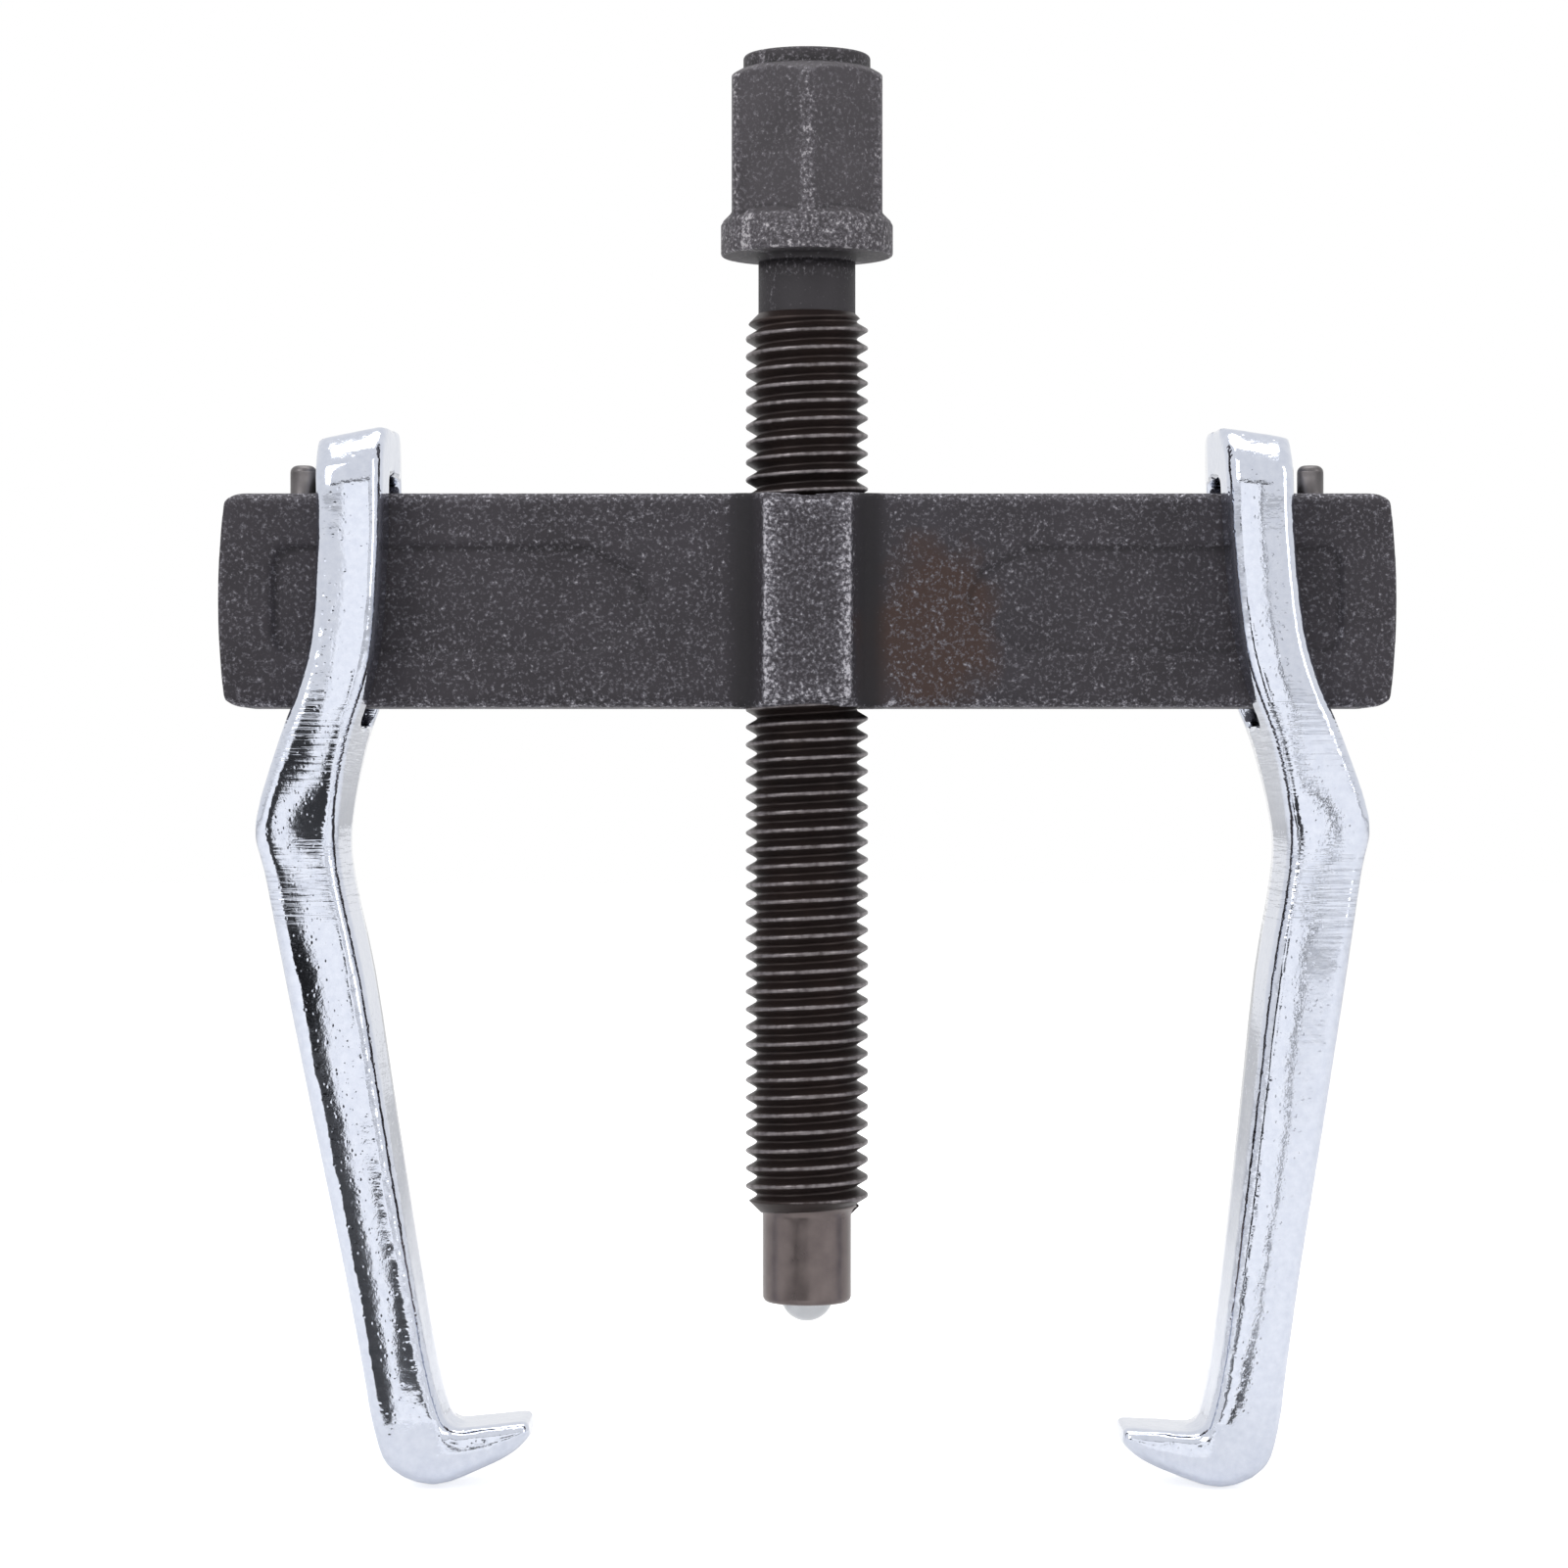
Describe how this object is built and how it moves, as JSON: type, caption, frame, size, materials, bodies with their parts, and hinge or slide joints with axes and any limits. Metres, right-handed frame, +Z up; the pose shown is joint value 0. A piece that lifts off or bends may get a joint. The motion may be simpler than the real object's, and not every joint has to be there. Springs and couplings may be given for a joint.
{
  "type": "gear puller",
  "caption": "Two-arm sliding-leg gear puller: forged cross beam, chromed hooked legs and a hex-headed pressure screw with a captive ball tip.",
  "frame": {"origin": "centre of the spindle's flat pilot end, on the screw's axis", "axes": "+Z up the spindle towards its drive hexagon, +X along the cross beam, -Y towards the viewer"},
  "size_m": [0.132, 0.0272, 0.162],
  "materials": {
    "black_oxide_forging": "black oxide on a shot-blasted steel forging",
    "dark_pin_steel": "dark drawn steel, satin",
    "black_oxide_screw": "black oxide on rolled and turned steel, lightly oiled",
    "polished_ball_steel": "polished hardened steel ball",
    "chrome_plate": "bright chrome plate over a ground steel forging"
  },
  "bodies": {
    "beam": {"cross_beam": "black_oxide_forging", "stop_pin_left": "dark_pin_steel", "stop_pin_right": "dark_pin_steel"},
    "leg_left": {"leg_left": "chrome_plate"},
    "leg_right": {"leg_right": "chrome_plate"},
    "ball": {"tip_ball": "polished_ball_steel"},
    "spindle": {"spindle": "black_oxide_screw"}
  },
  "joints": [
    {"name": "leg_left_slide", "type": "slide", "parent": "beam", "child": "leg_left", "axis": [1, 0, 0], "range_m": [0, 0.023]},
    {"name": "leg_right_slide", "type": "slide", "parent": "beam", "child": "leg_right", "axis": [-1, 0, 0], "range_m": [-0.0006, 0.027]},
    {"name": "screw_travel", "type": "slide", "parent": "beam", "child": "ball", "axis": [0, 0, 1], "range_m": [-0.026, 0.056]},
    {"name": "screw_turn", "type": "hinge", "parent": "ball", "child": "spindle", "pos_m": [0, 0, 0], "axis": [0, 0, 1], "range_deg": [-4680, 10080]}
  ],
  "couplings": [
    {"joint": "screw_turn", "follows": "screw_travel", "rad_per_m": 3141.6}
  ]
}
